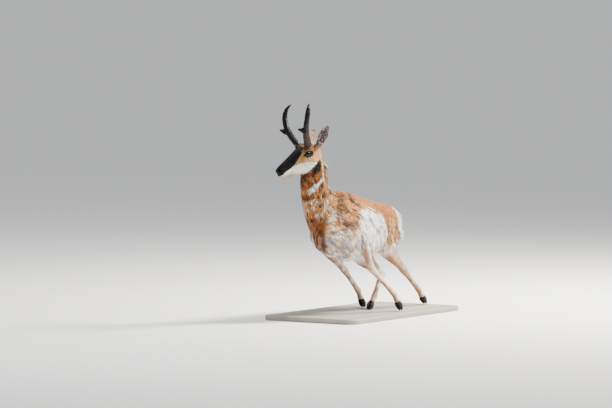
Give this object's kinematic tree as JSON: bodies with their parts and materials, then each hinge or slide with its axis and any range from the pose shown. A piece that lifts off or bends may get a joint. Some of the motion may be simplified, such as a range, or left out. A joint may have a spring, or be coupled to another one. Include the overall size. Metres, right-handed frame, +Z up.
{
  "type": "pronghorn",
  "caption": "Life-size still pronghorn buck at a low gallop, banking and looking ahead to its right, with pronged horns, flared rump hair and a plain flat base.",
  "frame": {"origin": "middle of the underside of the model's box, on the underside of the base", "axes": "+X is the animal's left, -Y is ahead of it, +Z is up"},
  "size_m": [0.64, 1.3372, 1.2738],
  "materials": {
    "coat": "coarse brittle hair: orange tan above, white below, black mask, brown and white throat",
    "horn": "black horn sheath, brownish and rough low down, smoother towards the tip",
    "hoof": "dull black hoof horn",
    "eye": "wet, very dark brown eye",
    "base": "plain board with a satin warm grey coat of paint"
  },
  "bodies": {
    "root": {"ear_left": "coat", "ear_right": "coat", "eye_left": "eye", "eye_right": "eye", "foreleg_left": "coat", "foreleg_right": "coat", "head": "coat", "hindleg_left": "coat", "hindleg_right": "coat", "hoof_foreleg_left_inner": "hoof", "hoof_foreleg_left_outer": "hoof", "hoof_foreleg_right_inner": "hoof", "hoof_foreleg_right_outer": "hoof", "hoof_hindleg_left_inner": "hoof", "hoof_hindleg_left_outer": "hoof", "hoof_hindleg_right_inner": "hoof", "hoof_hindleg_right_outer": "hoof", "horn_left": "horn", "horn_right": "horn", "neck": "coat", "stand_base": "base", "tail": "coat", "torso": "coat"}
  },
  "joints": []
}
